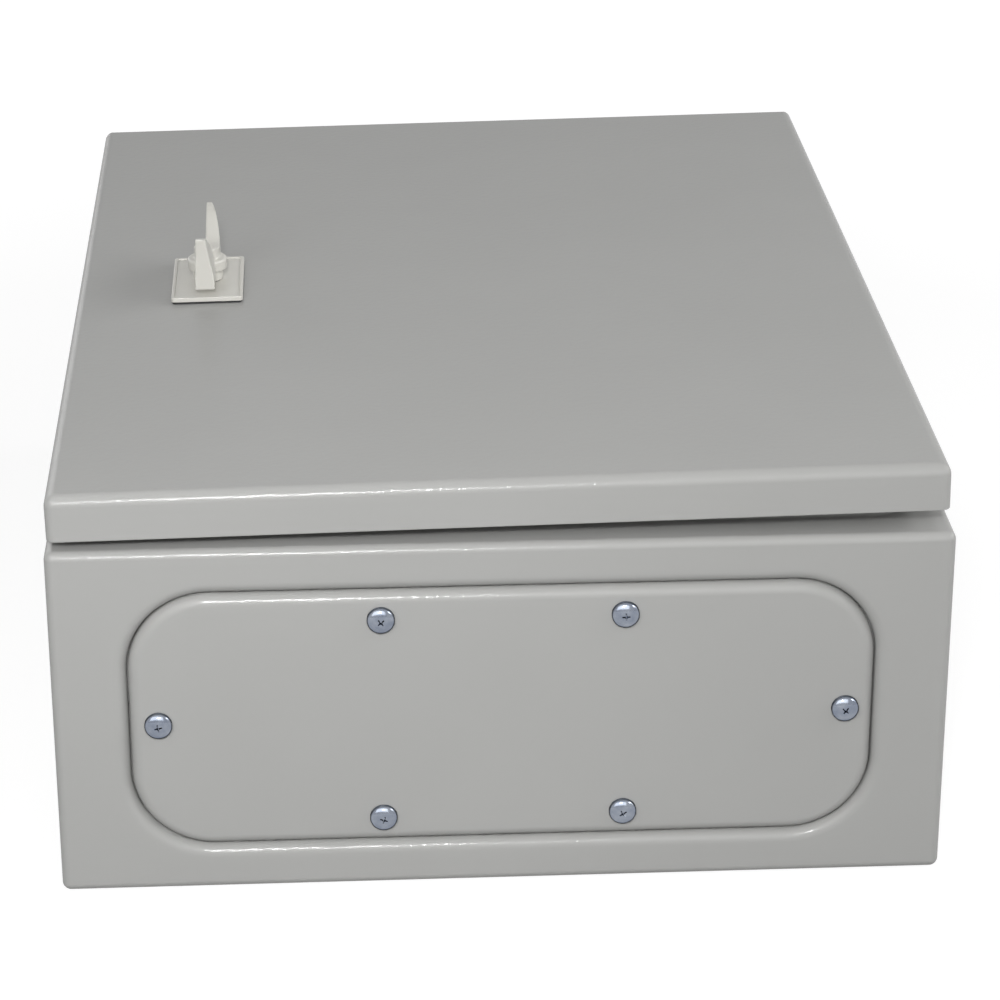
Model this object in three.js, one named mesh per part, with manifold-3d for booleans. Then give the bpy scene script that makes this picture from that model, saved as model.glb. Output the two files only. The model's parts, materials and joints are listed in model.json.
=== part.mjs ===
// Wall-mounting steel enclosure, 300 x 400 x 150 mm, lying on its back with the door up.
// Units are millimetres. The origin is the centre of the back face. +X points to the hinges,
// +Y away from the gland plate (up, when the enclosure hangs on a wall), +Z out of the door.
import * as THREE from "three";
import { mergeVertices } from "three/addons/utils/BufferGeometryUtils.js";
import Module from "manifold-3d";

const wasm = await Module();
wasm.setup();

// ---------------------------------------------------------------- driving dimensions

// General fits
const seat = 0.2; // gap between a piece and the face that carries it
const runningFit = 0.3; // radial clearance of what turns
const boltFit = 0.3; // radial clearance of screws and studs in their holes
const overcut = 1; // a cutting body runs past the face it opens, and joined bodies lap, by this
const bendSteps = 3; // facets in a sheet bend
const cornerSteps = 4; // facets in a corner of a flat piece
const glandSteps = 8; // facets in a corner of the gland opening
const curveSteps = 8; // facets in a curve of an extruded outline
const roundSides = 16; // sides of small round pieces
const largeRoundSides = 28; // sides of the barrel, spindle and hub
const capInset = 20; // where the flat middle of a swept pan begins
const studChamfer = 1;

// Body shell
const width = 300;
const height = 400;
const bodyDepth = 126; // back face to the plane of the front rim
const bodySheet = 1.5;
const bodyBend = 1.5; // inside radius of its folds
const bodyCorner = 3; // outside radius of the upright edges
const lipHeight = 12; // sealing lip above the rim plane
const lipCorner = 8;

// Door. It leans a little: its lock side is drawn down further than its hinge side.
const doorSheet = 1.5;
const doorBend = 2.5;
const doorCorner = 3;
const doorFlange = 16; // outside depth of the door pan
const gapAtHinge = 8; // rim plane to the flange edge
const gapAtLock = 3.5;
const setBackLock = 1; // wall face to door face, at each side
const setBackHinge = 2.5;
const setBackEnds = 1;

// Hinges
const hingeInset = 6; // pin axis behind the door's hinge-side face
const hingeRise = 5; // pin axis above the edge of the door flange
const hingeEnd = 70; // middle of a hinge to the end of the body
const knuckleRadius = 4.2;
const knuckleLength = 20;
const pinRadius = 2.5;
const earThickness = 3;
const leafLength = 44;
const leafSheet = 2;
const sideFit = 0.5; // knuckle to ear, along the pin
const swingFit = 0.7; // door flange to sealing lip, as the door swings
const notchFit = 1.5; // ear to the end of the notch in the door flange
const pinHeadHeight = 1.2;
const pinHeadRim = 1; // head past the pin's side
const pinChamfer = 0.6;

// Foam strip that the sealing lip presses into
const gasketFit = 0.8; // strip to the door leaf's knuckle
const gasketInside = 1; // strip further inside the lip than outside it

// Gland opening in the bottom wall, and its pressed plate
const glandSideMargin = 25; // body side to the line between shoulder and plate
const glandFaceMargin = 16; // back face, or rim plane, to the same line
const glandCorner = 28;
const shoulder = 4; // outside radius of both soft edges
const recessDepth = 6; // wall face to ledge
const ledgeWidth = 16;
const ledgeBend = 1;
const glandFit = 0.5; // plate edge to shoulder
const glandSheet = 1.5;
const glandScrewEnds = 10; // end screws, in from the line
const glandScrewSides = 10.1; // side screws, in from the line
const glandScrewPitch = 81; // between the two screws of a side

// Fasteners
const m5 = { radius: 2.5, head: 4.65, headHeight: 2.9, headEdge: 0.64, nutFlats: 8, nutHeight: 4 };
const m6 = { radius: 3, washer: 6, washerHeight: 1.6, nutFlats: 10, nutHeight: 5 };
const m8 = { radius: 4, washer: 8, washerHeight: 1.6, nutFlats: 13, nutHeight: 6.5 };
const crossLength = 4.6; // cross recess of a screw head
const crossWidth = 0.9;
const crossDepth = 1.6;
const glandScrewLength = 13;

// Mounting plate on four studs
const plateMargin = 25; // body side to plate edge
const plateSheet = 2;
const plateCorner = 3;
const plateStandOff = 10; // back wall to plate
const plateStudInset = 10; // stud to plate edge
const plateStudLength = 28;
const collarRadius = 7;

// Holes for fixing to a wall, closed by plugs
const wallHoleInset = 20;
const wallHoleRadius = 4.25;
const plugFlangeRadius = 7;
const plugFlange = 2;
const plugSkirt = 1.2;
const plugChamfer = 1;

// Earth studs on the back wall and on the door
const earthStudLength = 20;
const earthCollar = 3; // door or wall to washer
const bodyEarthSide = 80; // from the body's lock side
const bodyEarthEnd = 13; // from the gland face
const doorEarthSide = 90; // from the body's hinge side
const doorEarthEnd = 50; // from the gland face

// Lock: escutcheon with threaded barrel, nut, spindle, cam and wing handle
const lockInset = 50; // lock axis to the body's lock side
const lockRise = 0; // lock axis above the middle of the door
const escutcheonWidth = 26.5;
const escutcheonHeight = 45;
const escutcheonCorner = 1.2;
const escutcheonFloor = 1.2;
const escutcheonRim = 0.5;
const escutcheonRimWidth = 1.3;
const lockSeal = 0.6;
const sealEdge = 0.4; // escutcheon edge to seal edge
const barrelRadius = 10.8;
const lockNutFlats = 27;
const lockNutHeight = 5;
const spindleRadius = 4.8;
const spindleCollar = 7;
const spindleCollarHeight = 1.2;
const spindleSquare = 7;
const camSheet = 3;
const camGrip = 10; // cam tip past the edge of the rim
const camFit = 1.2; // cam to the underside of the rim
const camWidth = 15;
const camHub = 9;
const camScrewLength = 12;
const camWasherHeight = 1.25;
const camWasherRim = 2; // washer past the spindle's side

// Wing handle
const wingHalfLength = 22;
const wingFoot = 5.4; // underside above the door face
const wingTip = 25; // top of the wing tips above the door face
const wingDip = 15; // top of the middle above the door face
const hubRadius = 7.4;
const hubFoot = 6.6; // underside of the hub's disc above the door face
const hubTop = 10.8;
const hubEdge = 0.6;
const neckRadius = 5.6;
const coreRadius = 4.8;
const socketTop = 10; // end of the square socket above the door face
const wingSaddle = { shoulder: 13.2, fall: 0.5, spread: 7.2 }; // handles of the dipped edge's curve
const nearWing = { outer: -4.2, outerTop: -3.2, foot: 3.1, flare: 6, waist: 2, top: 0.4 };
const farWing = { inner: 0, innerRoot: -0.6, outer: 2.1, outerRoot: 4.8, flare: 1.5 };

// Values that follow from the driving dimensions
const doorTop = bodyDepth + gapAtHinge + doorFlange; // at the hinges
const doorLean = Math.asin((gapAtHinge - gapAtLock) / width);
const hingeX = width / 2 - setBackHinge - hingeInset;
const hingeZ = bodyDepth + gapAtHinge + hingeRise;
const flangeSwing = Math.hypot(hingeInset, hingeRise);
const rimWidth = setBackHinge + hingeInset + flangeSwing + swingFit;
const plateWidth = width - 2 * plateMargin;
const plateHeight = height - 2 * plateMargin;
const lockPlace = new THREE.Vector2(lockInset - width / 2, lockRise);

// ---------------------------------------------------------------- materials

const finish = (color, roughness, metalness) => ({ color, roughness, metalness });
const paint = finish(0xb2b2ab, 0.45, 0);
const zinc = finish(0xb9c0c9, 0.3, 1);
const galvanised = finish(0xa9adb0, 0.45, 1);
const darkSteel = finish(0x8a8f93, 0.4, 1);
const rubber = finish(0x2a2a2b, 0.85, 0);
const foam = finish(0x4a4b4c, 0.95, 0);
const plastic = finish(0xd6d3c8, 0.5, 0);

// ---------------------------------------------------------------- solids and meshes

// A manifold from a closed geometry.
function solid(geometry) {
  const bare = geometry.clone();
  bare.deleteAttribute("normal");
  bare.deleteAttribute("uv");
  const merged = mergeVertices(bare);
  const index = merged.index.array;
  const triangles = [];
  for (let i = 0; i < index.length; i += 3) {
    const [a, b, c] = [index[i], index[i + 1], index[i + 2]];
    if (a !== b && b !== c && c !== a) triangles.push(a, b, c);
  }
  return new wasm.Manifold(
    new wasm.Mesh({
      numProp: 3,
      vertProperties: merged.attributes.position.array,
      triVerts: new Uint32Array(triangles),
    }),
  );
}

function geometryOf(manifold) {
  const { vertProperties, triVerts } = manifold.getMesh();
  const geometry = new THREE.BufferGeometry();
  geometry.setAttribute("position", new THREE.BufferAttribute(vertProperties, 3));
  geometry.setIndex(new THREE.BufferAttribute(triVerts, 1));
  geometry.computeVertexNormals();
  return geometry;
}

// First geometry, joined with those in `joined` and cut by those in `cut`.
function combine(first, joined, cut) {
  let result = solid(first);
  for (const geometry of joined) result = result.add(solid(geometry));
  for (const geometry of cut) result = result.subtract(solid(geometry));
  return geometryOf(result);
}

function addPiece(parent, name, geometry, look) {
  const mesh = new THREE.Mesh(geometry, new THREE.MeshStandardMaterial(look));
  mesh.name = name;
  parent.add(mesh);
  return mesh;
}

// ---------------------------------------------------------------- basic shapes

function block(sizeX, sizeY, sizeZ, x, y, z) {
  return new THREE.BoxGeometry(sizeX, sizeY, sizeZ).translate(x, y, z);
}

// Turned piece about Z from [radius, z] points, bottom to top or as a closed loop.
function turned(points, segments = roundSides) {
  const profile = points.map(([radius, z]) => new THREE.Vector2(radius, z));
  return new THREE.LatheGeometry(profile, segments).rotateX(Math.PI / 2);
}

function rod(radius, bottom, top, segments = roundSides) {
  return turned([[0, bottom], [radius, bottom], [radius, top], [0, top]], segments);
}

function ring(inner, outer, bottom, top) {
  return turned([[inner, bottom], [outer, bottom], [outer, top], [inner, top], [inner, bottom]]);
}

function prism(shape, bottom, top) {
  const options = { depth: top - bottom, bevelEnabled: false, curveSegments: curveSteps };
  return new THREE.ExtrudeGeometry(shape, options).translate(0, 0, bottom);
}

function regularPolygon(sides, apothem) {
  const radius = apothem / Math.cos(Math.PI / sides);
  const points = [];
  for (let i = 0; i < sides; i += 1) {
    const angle = ((i + 0.5) * 2 * Math.PI) / sides;
    points.push(new THREE.Vector2(radius * Math.cos(angle), radius * Math.sin(angle)));
  }
  return new THREE.Shape(points);
}

function nut(size, bottom, bore) {
  const hexagon = regularPolygon(6, size.nutFlats / 2);
  hexagon.holes.push(new THREE.Path().absarc(0, 0, bore, 0, 2 * Math.PI, true));
  return prism(hexagon, bottom, bottom + size.nutHeight);
}

function washer(size, bottom) {
  const inner = size.radius + boltFit;
  const top = bottom + size.washerHeight;
  return ring(inner, size.washer, bottom, top);
}

// Counter-clockwise outline of a rectangle with round corners.
function roundRect(halfX, halfY, radius, steps) {
  const points = [];
  for (let corner = 0; corner < 4; corner += 1) {
    const middle = (corner + 0.5) * (Math.PI / 2);
    const centreX = Math.sign(Math.cos(middle)) * (halfX - radius);
    const centreY = Math.sign(Math.sin(middle)) * (halfY - radius);
    for (let step = 0; step <= steps; step += 1) {
      const angle = (corner + step / steps) * (Math.PI / 2);
      const x = centreX + radius * Math.cos(angle);
      const y = centreY + radius * Math.sin(angle);
      points.push(new THREE.Vector2(x, y));
    }
  }
  return points;
}

function plateShape(sizeX, sizeY, radius) {
  return new THREE.Shape(roundRect(sizeX / 2, sizeY / 2, radius, cornerSteps));
}

// ---------------------------------------------------------------- folded sheet

// Section of a folded sheet. The path runs along the outside face and gives the inside radius
// of each bend as [x, z, radius]. The metal lies to the right of the path (side 1) or left (-1).
function foldedSection(path, thickness, side) {
  const corner = (i) => new THREE.Vector2(path[i][0], path[i][1]);
  const heading = (i) => corner(i + 1).sub(corner(i)).normalize();
  const inward = (direction) => new THREE.Vector2(direction.y, -direction.x).multiplyScalar(side);
  const last = path.length - 1;
  const face = [corner(0)];
  const back = [corner(0).addScaledVector(inward(heading(0)), thickness)];
  for (let i = 1; i < last; i += 1) {
    const before = heading(i - 1);
    const after = heading(i);
    const towardsMetal = before.cross(after) * side < 0;
    const faceRadius = path[i][2] + (towardsMetal ? thickness : 0);
    const backRadius = path[i][2] + (towardsMetal ? 0 : thickness);
    const normal = inward(before).multiplyScalar(towardsMetal ? 1 : -1);
    const turn = Math.acos(before.dot(after));
    const centre = corner(i)
      .addScaledVector(before, -faceRadius * Math.tan(turn / 2))
      .addScaledVector(normal, faceRadius);
    for (let step = 0; step <= bendSteps; step += 1) {
      const angle = (turn * step) / bendSteps;
      const radial = before
        .clone()
        .multiplyScalar(Math.sin(angle))
        .addScaledVector(normal, -Math.cos(angle));
      face.push(centre.clone().addScaledVector(radial, faceRadius));
      back.push(centre.clone().addScaledVector(radial, backRadius));
    }
  }
  face.push(corner(last));
  back.push(corner(last).addScaledVector(inward(heading(last - 1)), thickness));
  return [...face, ...back.reverse()];
}

// Skin through rings of equal length, closed by two caps (a pan) or on itself (a frame).
function loft(rings, capped) {
  const count = rings[0].length;
  const positions = rings.flat().flatMap((point) => [point.x, point.y, point.z]);
  const index = [];
  const spans = capped ? rings.length - 1 : rings.length;
  for (let ring = 0; ring < spans; ring += 1) {
    const lower = ring * count;
    const upper = ((ring + 1) % rings.length) * count;
    for (let i = 0; i < count; i += 1) {
      const next = (i + 1) % count;
      index.push(lower + i, lower + next, upper + next, lower + i, upper + next, upper + i);
    }
  }
  if (capped) {
    const end = (rings.length - 1) * count;
    for (let i = 1; i < count - 1; i += 1) {
      index.push(0, i + 1, i, end, end + i, end + i + 1);
    }
  }
  const geometry = new THREE.BufferGeometry();
  geometry.setAttribute("position", new THREE.Float32BufferAttribute(positions, 3));
  geometry.setIndex(index);
  geometry.computeVertexNormals();
  return geometry;
}

// Sweeps a section of [inset, z] points round a rectangle. Metal on the left of the section's
// path turns the skin inside out, so the rings are then taken in the opposite order.
function sweepRound(section, halfX, halfY, cornerRadius, steps, capped, side) {
  const rings = section.map(({ x: inset, y: z }) =>
    roundRect(halfX - inset, halfY - inset, cornerRadius(inset), steps).map(
      (point) => new THREE.Vector3(point.x, point.y, z),
    ),
  );
  return loft(side < 0 ? rings.reverse() : rings, capped);
}

// ---------------------------------------------------------------- places

const corners = [[-1, -1], [1, -1], [1, 1], [-1, 1]];
const halfGlandX = width / 2 - glandSideMargin;
const halfGlandY = bodyDepth / 2 - glandFaceMargin;
const glandScrews = [
  [-(halfGlandX - glandScrewEnds), 0],
  [halfGlandX - glandScrewEnds, 0],
  ...corners.map(([x, y]) => [(x * glandScrewPitch) / 2, y * (halfGlandY - glandScrewSides)]),
];
const plateStuds = corners.map(([x, y]) => [
  x * (plateWidth / 2 - plateStudInset),
  y * (plateHeight / 2 - plateStudInset),
]);
const wallHoles = corners.map(([x, y]) => [
  x * (width / 2 - wallHoleInset),
  y * (height / 2 - wallHoleInset),
]);
const hingePlaces = [hingeEnd - height / 2, height / 2 - hingeEnd];

const enclosure = new THREE.Group();

// Frame of the bottom wall: local +Z is the wall's outward normal, local +Y is up the wall.
const glandGroup = new THREE.Group();
glandGroup.position.set(0, -height / 2, bodyDepth / 2);
glandGroup.rotation.x = Math.PI / 2;
enclosure.add(glandGroup);
glandGroup.updateMatrix();

// ---------------------------------------------------------------- body shell

// Soft-shouldered recess round the gland opening, in the frame of the bottom wall.
function glandRecess() {
  const path = [
    [-shoulder - overcut, 0],
    [0, 0, shoulder - bodySheet],
    [0, -recessDepth, ledgeBend],
    [ledgeWidth, -recessDepth],
  ];
  const section = foldedSection(path, bodySheet, 1);
  const radius = (inset) => glandCorner - inset;
  return sweepRound(section, halfGlandX, halfGlandY, radius, glandSteps, false, 1);
}

function bodyShell() {
  const path = [
    [capInset, 0],
    [0, 0, bodyBend],
    [0, bodyDepth, bodyBend],
    [rimWidth, bodyDepth, bodyBend],
    [rimWidth, bodyDepth + lipHeight],
  ];
  const section = foldedSection(path, bodySheet, 1);
  const lipCorners = (inset) => lipCorner + rimWidth - inset;
  const wallCorners = (inset) => bodyCorner - inset;
  const radius = (inset) => (inset > bodySheet ? Math.max(lipCorners(inset), 1) : wallCorners(inset));
  const shell = sweepRound(section, width / 2, height / 2, radius, bendSteps, true, 1);

  const opening = new THREE.Shape(
    roundRect(halfGlandX + shoulder, halfGlandY + shoulder, glandCorner + shoulder, glandSteps),
  );
  const glandCut = prism(opening, -bodySheet - overcut, overcut).applyMatrix4(glandGroup.matrix);
  const recess = glandRecess().applyMatrix4(glandGroup.matrix);
  const holes = wallHoles.map(([x, y]) =>
    rod(wallHoleRadius, -overcut, bodySheet + overcut).translate(x, y, 0),
  );
  const screwHoles = glandScrews.map(([x, y]) =>
    rod(m5.radius + boltFit, -recessDepth - bodySheet - overcut, -recessDepth + overcut)
      .translate(x, y, 0)
      .applyMatrix4(glandGroup.matrix),
  );
  const opened = combine(shell, [], [glandCut]);
  return combine(opened, [recess], [...holes, ...screwHoles]);
}

addPiece(enclosure, "body_shell", bodyShell(), paint);

// ---------------------------------------------------------------- gland plate

function glandPlate() {
  const path = [
    [capInset, 0],
    [glandFit, 0, shoulder - glandSheet],
    [glandFit, -recessDepth + 2 * seat],
  ];
  const section = foldedSection(path, glandSheet, -1);
  const radius = (inset) => glandCorner - inset;
  const pan = sweepRound(section, halfGlandX, halfGlandY, radius, glandSteps, true, -1);
  const holes = glandScrews.map(([x, y]) =>
    rod(m5.radius + boltFit, -glandSheet - overcut, overcut).translate(x, y, 0),
  );
  return combine(pan, [], holes);
}

function glandGasket() {
  const outer = glandFit + shoulder;
  const inside = (inset) =>
    roundRect(halfGlandX - inset, halfGlandY - inset, glandCorner - inset, glandSteps);
  const strip = new THREE.Shape(inside(outer));
  strip.holes.push(new THREE.Path(inside(ledgeWidth)));
  for (const [x, y] of glandScrews) {
    strip.holes.push(new THREE.Path().absarc(x, y, m5.radius + boltFit, 0, 2 * Math.PI, true));
  }
  return prism(strip, -recessDepth + seat, -glandSheet - seat);
}

// Domed screw with a cross recess. Its head rests on z = 0 and its shank points down.
function crossScrew(length) {
  const dome = [];
  for (let step = 0; step <= cornerSteps; step += 1) {
    const angle = (step / cornerSteps) * (Math.PI / 2);
    const z = m5.headEdge + (m5.headHeight - m5.headEdge) * Math.sin(angle);
    dome.push([m5.head * Math.cos(angle), z]);
  }
  dome[cornerSteps][0] = 0;
  const shank = [[0, -length], [m5.radius, -length], [m5.radius, 0], [m5.head, 0]];
  return combine(turned([...shank, ...dome]), [], [
    block(crossLength, crossWidth, 2 * crossDepth, 0, 0, m5.headHeight),
    block(crossWidth, crossLength, 2 * crossDepth, 0, 0, m5.headHeight),
  ]);
}

addPiece(glandGroup, "gland_plate", glandPlate(), paint);
addPiece(glandGroup, "gland_gasket", glandGasket(), rubber);
glandScrews.forEach(([x, y], i) => {
  const screw = addPiece(glandGroup, `gland_screw_${i + 1}`, crossScrew(glandScrewLength), zinc);
  screw.position.set(x, y, seat);
  const bottom = -recessDepth - bodySheet - seat - m5.nutHeight;
  const bore = m5.radius + boltFit;
  const held = addPiece(glandGroup, `gland_nut_${i + 1}`, nut(m5, bottom, bore), galvanised);
  held.position.set(x, y, 0);
});

// ---------------------------------------------------------------- mounting plate

function mountingPlate() {
  const plate = plateShape(plateWidth, plateHeight, plateCorner);
  for (const [x, y] of plateStuds) {
    plate.holes.push(new THREE.Path().absarc(x, y, m8.radius + boltFit, 0, 2 * Math.PI, true));
  }
  const bottom = bodySheet + plateStandOff;
  return prism(plate, bottom, bottom + plateSheet);
}

// Stud welded to the back wall, with the collar that the plate rests on.
function collarStud() {
  const foot = bodySheet + seat;
  const collar = bodySheet + plateStandOff - seat;
  const end = bodySheet + plateStudLength;
  return turned([
    [0, foot],
    [collarRadius, foot],
    [collarRadius, collar],
    [m8.radius, collar],
    [m8.radius, end - studChamfer],
    [m8.radius - studChamfer, end],
    [0, end],
  ]);
}

addPiece(enclosure, "mounting_plate", mountingPlate(), galvanised);
plateStuds.forEach(([x, y], i) => {
  const washerBottom = bodySheet + plateStandOff + plateSheet + seat;
  const nutBottom = washerBottom + m8.washerHeight + seat;
  const stack = {
    [`plate_stud_${i + 1}`]: collarStud(),
    [`plate_washer_${i + 1}`]: washer(m8, washerBottom),
    [`plate_nut_${i + 1}`]: nut(m8, nutBottom, m8.radius + boltFit),
  };
  for (const [name, geometry] of Object.entries(stack)) {
    addPiece(enclosure, name, geometry, galvanised).position.set(x, y, 0);
  }
});

// ---------------------------------------------------------------- wall plugs

// Hollow plug, pressed into a wall hole from inside and flush with the back face.
function wallPlug() {
  const stem = wallHoleRadius - seat;
  const bore = stem - plugSkirt;
  const step = bodySheet + seat;
  const top = step + plugFlange;
  return turned([
    [0, plugSkirt],
    [bore, plugSkirt],
    [bore, seat],
    [stem, seat],
    [stem, step],
    [plugFlangeRadius, step],
    [plugFlangeRadius, top - plugChamfer],
    [plugFlangeRadius - plugChamfer, top],
    [0, top],
  ]);
}

wallHoles.forEach(([x, y], i) => {
  addPiece(enclosure, `wall_plug_${i + 1}`, wallPlug(), rubber).position.set(x, y, 0);
});

// ---------------------------------------------------------------- earth studs

// Stud, washer and nut, standing on z = 0.
function addEarthPoint(parent, name, x, y, z, flip) {
  const group = new THREE.Group();
  group.position.set(x, y, z);
  group.rotation.x = flip ? Math.PI : 0;
  parent.add(group);
  const collarTop = earthCollar - seat;
  const nutBottom = earthCollar + m6.washerHeight + seat;
  const stud = turned([
    [0, seat],
    [m6.nutFlats / 2, seat],
    [m6.nutFlats / 2, collarTop],
    [m6.radius, collarTop],
    [m6.radius, earthStudLength - studChamfer],
    [m6.radius - studChamfer, earthStudLength],
    [0, earthStudLength],
  ]);
  addPiece(group, `${name}_earth_stud`, stud, zinc);
  addPiece(group, `${name}_earth_washer`, washer(m6, earthCollar), zinc);
  addPiece(group, `${name}_earth_nut`, nut(m6, nutBottom, m6.radius + boltFit), zinc);
}

addEarthPoint(
  enclosure,
  "body",
  bodyEarthSide - width / 2,
  bodyEarthEnd - height / 2,
  bodySheet,
  false,
);

// ---------------------------------------------------------------- hinges, body side

const earEnd = knuckleLength / 2 + sideFit + earThickness;

// Runs a shape drawn as x and z about the pin axis along Y.
function alongPin(shape, start, end) {
  return prism(shape, -end, -start).rotateX(Math.PI / 2);
}

function pinRod(radius, start, end) {
  return rod(radius, -end, -start).rotateX(Math.PI / 2);
}

// Foot on the rim with two ears round the pin. The ears stand clear of the swinging door flange.
function bodyLeaf() {
  const foot = bodyDepth + seat - hingeZ;
  const stemOuter = knuckleRadius / 2;
  const ear = new THREE.Shape();
  ear.moveTo(stemOuter, foot);
  ear.absarc(0, 0, knuckleRadius, -Math.PI / 3, Math.PI, false);
  ear.lineTo(-knuckleRadius, foot);
  const footOuter = width / 2 - bodyBend - bodySheet - hingeX - seat;
  const footWidth = footOuter + knuckleRadius;
  const footMiddle = footOuter - footWidth / 2;
  const base = block(footWidth, leafLength, leafSheet, footMiddle, 0, foot + leafSheet / 2);
  const ears = [
    alongPin(ear, -earEnd, -earEnd + earThickness),
    alongPin(ear, earEnd - earThickness, earEnd),
  ];
  return combine(base, ears, [pinRod(pinRadius + boltFit, -leafLength, leafLength)]);
}

function hingePin() {
  const tip = -earEnd - pinChamfer;
  const headBottom = earEnd + seat;
  const headTop = headBottom + pinHeadHeight;
  return turned([
    [0, tip],
    [pinRadius - pinChamfer, tip],
    [pinRadius, tip + pinChamfer],
    [pinRadius, headBottom],
    [pinRadius + pinHeadRim, headBottom],
    [pinRadius + pinHeadRim, headTop],
    [0, headTop],
  ]).rotateX(-Math.PI / 2);
}

hingePlaces.forEach((y, i) => {
  const name = ["lower", "upper"][i];
  addPiece(enclosure, `body_leaf_${name}`, bodyLeaf(), paint).position.set(hingeX, y, hingeZ);
  addPiece(enclosure, `hinge_pin_${name}`, hingePin(), zinc).position.set(hingeX, y, hingeZ);
});

// ---------------------------------------------------------------- door

// The door turns about the hinge axis by its lean. Its own frame keeps the enclosure's
// directions, with the origin on the hinge axis moved back to the enclosure's origin.
const doorTurn = new THREE.Group();
doorTurn.position.set(hingeX, 0, hingeZ);
doorTurn.rotation.y = -doorLean;
enclosure.add(doorTurn);
const door = new THREE.Group();
door.position.set(-hingeX, 0, -hingeZ);
doorTurn.add(door);
doorTurn.updateMatrixWorld(true);

const doorWidth = width - setBackLock - setBackHinge;
const doorHeight = height - 2 * setBackEnds;
const doorMiddle = (setBackLock - setBackHinge) / 2;
const doorInside = doorTop - doorSheet;

function doorPanel() {
  const path = [
    [capInset, doorTop],
    [0, doorTop, doorBend],
    [0, doorTop - doorFlange],
  ];
  const section = foldedSection(path, doorSheet, -1);
  const radius = (inset) => Math.max(doorCorner - inset, 1);
  const pan = sweepRound(section, doorWidth / 2, doorHeight / 2, radius, bendSteps, true, -1);
  pan.translate(doorMiddle, 0, 0);
  const lockHole = rod(barrelRadius + boltFit, doorInside - overcut, doorTop + overcut);
  lockHole.translate(lockPlace.x, lockPlace.y, 0);
  const notchTop = doorTop - doorBend - doorSheet;
  const notchBottom = doorTop - doorFlange - overcut;
  const notches = hingePlaces.map((y) =>
    block(
      4 * doorSheet,
      2 * (earEnd + notchFit),
      notchTop - notchBottom,
      width / 2 - setBackHinge,
      y,
      (notchTop + notchBottom) / 2,
    ),
  );
  return combine(pan, [], [lockHole, ...notches]);
}

// Foam strip on the door, level with the sealing lip whatever the door's lean.
function doorGasket() {
  const outer = width / 2 - hingeX + knuckleRadius + gasketFit;
  const inner = 2 * (rimWidth + bodySheet / 2) - outer + gasketInside;
  const inside = (inset) =>
    roundRect(width / 2 - inset, height / 2 - inset, lipCorner + rimWidth - inset, cornerSteps);
  const strip = new THREE.Shape(inside(outer));
  strip.holes.push(new THREE.Path(inside(inner)));
  const lipTop = bodyDepth + lipHeight + seat;
  const below = block(2 * width, 2 * height, 2 * bodyDepth, 0, 0, lipTop - bodyDepth);
  const toDoor = door.matrixWorld.clone().invert();
  const foamPrism = prism(strip, bodyDepth, doorInside - seat);
  return combine(foamPrism, [], [below.applyMatrix4(toDoor)]);
}

// Pad on the door's inside, web and knuckle.
function doorLeaf() {
  const padTop = doorInside - seat - hingeZ;
  const padBottom = padTop - leafSheet;
  const padOuter = hingeInset - doorSheet - doorBend - seat;
  const padWidth = padOuter + knuckleRadius;
  const padMiddle = padOuter - padWidth / 2;
  const webTop = padBottom + overcut;
  const pad = block(padWidth, leafLength, leafSheet, padMiddle, 0, padTop - leafSheet / 2);
  const web = block(padWidth, knuckleLength, webTop, padMiddle, 0, webTop / 2);
  const knuckle = pinRod(knuckleRadius, -knuckleLength / 2, knuckleLength / 2);
  return combine(pad, [web, knuckle], [pinRod(pinRadius + runningFit, -leafLength, leafLength)]);
}

addPiece(door, "door_panel", doorPanel(), paint);
addPiece(door, "door_gasket", doorGasket(), foam);
hingePlaces.forEach((y, i) => {
  const name = ["lower", "upper"][i];
  addPiece(door, `door_leaf_${name}`, doorLeaf(), paint).position.set(hingeX, y, hingeZ);
});
addEarthPoint(
  door,
  "door",
  width / 2 - doorEarthSide,
  doorEarthEnd - height / 2,
  doorInside,
  true,
);

// ---------------------------------------------------------------- lock

// The lock's frame stands on the door's outer face, on the lock axis.
const lock = new THREE.Group();
lock.position.set(lockPlace.x, lockPlace.y, doorTop);
door.add(lock);

const escutcheonBottom = lockSeal + 2 * seat;
const escutcheonTop = escutcheonBottom + escutcheonFloor;
const camDrop = (hingeX + width / 2 - rimWidth) * Math.sin(doorLean);
const camTop = bodyDepth - bodySheet - camFit + camDrop - doorTop;
const camBottom = camTop - camSheet;
const camReach = width / 2 - rimWidth + lockPlace.x + camGrip;
const collarBottom = camTop + seat;
const barrelEnd = collarBottom + spindleCollarHeight + seat;
const squareEnd = camBottom + seat;

function lockHousing() {
  const outer = plateShape(escutcheonWidth, escutcheonHeight, escutcheonCorner);
  const inner = plateShape(
    escutcheonWidth - 2 * escutcheonRimWidth,
    escutcheonHeight - 2 * escutcheonRimWidth,
    escutcheonCorner / 2,
  );
  const plate = prism(outer, escutcheonBottom, escutcheonTop + escutcheonRim);
  const dish = prism(inner, escutcheonTop, escutcheonTop + 2 * escutcheonRim);
  const barrel = rod(barrelRadius, barrelEnd, escutcheonTop, largeRoundSides);
  const bore = rod(spindleRadius + runningFit, barrelEnd - overcut, escutcheonTop + overcut);
  return combine(plate, [barrel], [dish, bore]);
}

function sealPlate() {
  const sealWidth = escutcheonWidth - 2 * sealEdge;
  const sealHeight = escutcheonHeight - 2 * sealEdge;
  const outer = plateShape(sealWidth, sealHeight, escutcheonCorner);
  outer.holes.push(new THREE.Path().absarc(0, 0, barrelRadius + boltFit, 0, 2 * Math.PI, true));
  return prism(outer, seat, seat + lockSeal);
}

function lockNut() {
  const size = { nutFlats: lockNutFlats, nutHeight: lockNutHeight };
  const bottom = -doorSheet - seat - lockNutHeight;
  return nut(size, bottom, barrelRadius + boltFit);
}

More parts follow.
